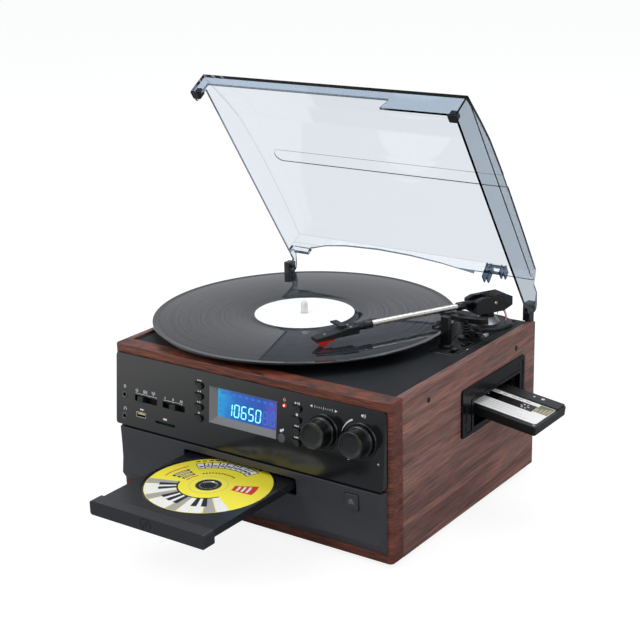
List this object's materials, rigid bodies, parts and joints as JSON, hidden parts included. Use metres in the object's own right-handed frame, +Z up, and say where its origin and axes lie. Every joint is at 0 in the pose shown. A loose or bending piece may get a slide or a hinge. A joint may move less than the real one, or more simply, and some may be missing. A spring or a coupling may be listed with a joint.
{
  "type": "all-in-one record player",
  "caption": "Wooden box record player with a hinged clear cover, turntable and tonearm, radio front panel, disc tray and side cassette slot.",
  "frame": {"origin": "middle of the whole object's footprint, on the plane of the feet's undersides", "axes": "+X to the object's right as seen from the front, +Y from the front panel to the back, +Z up"},
  "size_m": [0.4088, 0.4344, 0.3977],
  "materials": {
    "cabinet_wood": "reddish brown wood-grain foil, satin",
    "deck_plastic": "fine-textured dark grey",
    "black_plastic": "semi-gloss black",
    "charcoal_plastic": "matte charcoal",
    "rubber": "matte black rubber",
    "record_vinyl": "glossy grooved black, with a plain white paper label",
    "steel": "plain sheet and turned steel",
    "arm_chrome": "bright plated tube",
    "clear_cover": "smoky clear acrylic",
    "pale_plastic": "milky white",
    "display": "lit blue liquid-crystal screen in a grey surround",
    "red_plastic": "translucent red",
    "disc_print": "printed yellow disc with a silver hub",
    "circuit_board": "green circuit board"
  },
  "bodies": {
    "cabinet": {"front_frame": "cabinet_wood", "left_side_panel": "cabinet_wood", "right_side_panel": "cabinet_wood", "back_panel": "cabinet_wood", "bottom_panel": "cabinet_wood", "foot_front_left": "rubber", "foot_front_right": "rubber", "foot_rear_left": "rubber", "foot_rear_right": "rubber", "deck_plate": "deck_plastic", "spindle": "pale_plastic", "turntable_motor": "steel", "drive_belt": "rubber", "tonearm_base": "black_plastic", "arm_rest": "black_plastic", "arm_clip": "black_plastic", "lift_spring": "steel", "hinge_left": "black_plastic", "hinge_right": "black_plastic", "upper_panel": "black_plastic", "lcd_window": "display", "power_led": "red_plastic", "audio_jacks": "black_plastic", "usb_socket": "steel", "main_board": "circuit_board", "lower_panel": "charcoal_plastic", "cd_drive": "charcoal_plastic", "cassette_bezel": "black_plastic", "cassette_deck": "charcoal_plastic", "power_supply": "charcoal_plastic"},
    "cover": {"dust_cover": "clear_cover", "lid_bumper_left": "rubber", "lid_bumper_right": "rubber"},
    "turntable": {"platter": "black_plastic", "record": "record_vinyl"},
    "pulley": {"motor_pulley": "pale_plastic"},
    "arm_yoke": {"pivot_housing": "black_plastic"},
    "arm": {"arm_tube": "arm_chrome", "headshell": "black_plastic", "stylus": "red_plastic"},
    "platform": {"lift_platform": "black_plastic"},
    "lever": {"lift_lever": "steel"},
    "speed_knob": {"speed_switch": "black_plastic"},
    "auto_stop_knob": {"auto_stop_switch": "black_plastic"},
    "function_knob": {"function_switch": "black_plastic"},
    "band_knob": {"band_switch": "black_plastic"},
    "tuner": {"tuning_knob": "black_plastic"},
    "volume": {"volume_knob": "black_plastic"},
    "key_left_1": {"left_button_1": "charcoal_plastic"},
    "key_left_2": {"left_button_2": "charcoal_plastic"},
    "key_left_3": {"left_button_3": "charcoal_plastic"},
    "key_left_4": {"left_button_4": "charcoal_plastic"},
    "key_right_1": {"right_button_1": "charcoal_plastic"},
    "key_right_2": {"right_button_2": "charcoal_plastic"},
    "key_right_3": {"right_button_3": "charcoal_plastic"},
    "key_right_4": {"right_button_4": "charcoal_plastic"},
    "eject_key": {"eject_button": "charcoal_plastic"},
    "tray": {"cd_tray": "charcoal_plastic", "compact_disc": "disc_print"},
    "tape": {"cassette": "black_plastic"}
  },
  "joints": [
    {"name": "cover_hinge", "type": "hinge", "parent": "cabinet", "child": "cover", "pos_m": [-0.0156, 0.18435, 0.17], "axis": [-1, 0, 0], "range_deg": [-56.5, 0]},
    {"name": "platter_spin", "type": "hinge", "parent": "cabinet", "child": "turntable", "pos_m": [-0.0536, 0.06635, 0.155], "axis": [0, 0, 1], "continuous": true},
    {"name": "pulley_spin", "type": "hinge", "parent": "cabinet", "child": "pulley", "pos_m": [-0.11017, 0.12292, 0.155], "axis": [0, 0, 1], "continuous": true},
    {"name": "arm_swing", "type": "hinge", "parent": "cabinet", "child": "arm_yoke", "pos_m": [0.1024, 0.15735, 0.165], "axis": [0, 0, 1], "range_deg": [-16, 20]},
    {"name": "arm_lift", "type": "hinge", "parent": "arm_yoke", "child": "arm", "pos_m": [0.10372, 0.16005, 0.178], "axis": [-0.8988, 0.4384, 0], "range_deg": [0, 3]},
    {"name": "platform_rise", "type": "slide", "parent": "cabinet", "child": "platform", "axis": [0, 0, 1], "range_m": [0, 0.0022], "deforming": ["lift_spring"]},
    {"name": "lever_tilt", "type": "hinge", "parent": "cabinet", "child": "lever", "pos_m": [0.1154, 0.10835, 0.161], "axis": [0, -1, 0], "range_deg": [0, 36]},
    {"name": "speed_slide", "type": "slide", "parent": "cabinet", "child": "speed_knob", "axis": [0, 1, 0], "range_m": [-0.004, 0.004]},
    {"name": "auto_stop_slide", "type": "slide", "parent": "cabinet", "child": "auto_stop_knob", "axis": [0, 1, 0], "range_m": [0, 0.008]},
    {"name": "function_slide", "type": "slide", "parent": "cabinet", "child": "function_knob", "axis": [1, 0, 0], "range_m": [-0.005, 0.015]},
    {"name": "band_slide", "type": "slide", "parent": "cabinet", "child": "band_knob", "axis": [1, 0, 0], "range_m": [-0.01, 0.0095]},
    {"name": "tuning_turn", "type": "hinge", "parent": "cabinet", "child": "tuner", "pos_m": [0.0742, -0.08648, 0.1184], "axis": [0, -0.9954, 0.0953], "continuous": true},
    {"name": "volume_turn", "type": "hinge", "parent": "cabinet", "child": "volume", "pos_m": [0.1139, -0.08648, 0.1184], "axis": [0, -0.9954, 0.0953], "range_deg": [-150, 150]},
    {"name": "left_push_1", "type": "slide", "parent": "cabinet", "child": "key_left_1", "axis": [0, 0.9954, -0.0953], "range_m": [0, 0.001], "stiffness_N_per_m": 400},
    {"name": "left_push_2", "type": "slide", "parent": "cabinet", "child": "key_left_2", "axis": [0, 0.9954, -0.0953], "range_m": [0, 0.001], "stiffness_N_per_m": 400},
    {"name": "left_push_3", "type": "slide", "parent": "cabinet", "child": "key_left_3", "axis": [0, 0.9954, -0.0953], "range_m": [0, 0.001], "stiffness_N_per_m": 400},
    {"name": "left_push_4", "type": "slide", "parent": "cabinet", "child": "key_left_4", "axis": [0, 0.9954, -0.0953], "range_m": [0, 0.001], "stiffness_N_per_m": 400},
    {"name": "right_push_1", "type": "slide", "parent": "cabinet", "child": "key_right_1", "axis": [0, 0.9954, -0.0953], "range_m": [0, 0.001], "stiffness_N_per_m": 400},
    {"name": "right_push_2", "type": "slide", "parent": "cabinet", "child": "key_right_2", "axis": [0, 0.9954, -0.0953], "range_m": [0, 0.001], "stiffness_N_per_m": 400},
    {"name": "right_push_3", "type": "slide", "parent": "cabinet", "child": "key_right_3", "axis": [0, 0.9954, -0.0953], "range_m": [0, 0.001], "stiffness_N_per_m": 400},
    {"name": "right_push_4", "type": "slide", "parent": "cabinet", "child": "key_right_4", "axis": [0, 0.9954, -0.0953], "range_m": [0, 0.001], "stiffness_N_per_m": 400},
    {"name": "eject_push", "type": "slide", "parent": "cabinet", "child": "eject_key", "axis": [0, 1, 0], "range_m": [0, 0.0012], "stiffness_N_per_m": 400},
    {"name": "tray_slide", "type": "slide", "parent": "cabinet", "child": "tray", "axis": [0, -1, 0], "range_m": [-0.1265, 0]},
    {"name": "tape_slide", "type": "slide", "parent": "cabinet", "child": "tape", "axis": [0.9903, 0, -0.1392], "range_m": [-0.045, 0]}
  ],
  "couplings": [
    {"joint": "pulley_spin", "follows": "platter_spin", "ratio": 11},
    {"joint": "platform_rise", "follows": "arm_lift", "m_per_rad": 0.042},
    {"joint": "lever_tilt", "follows": "arm_lift", "ratio": 11.667}
  ]
}
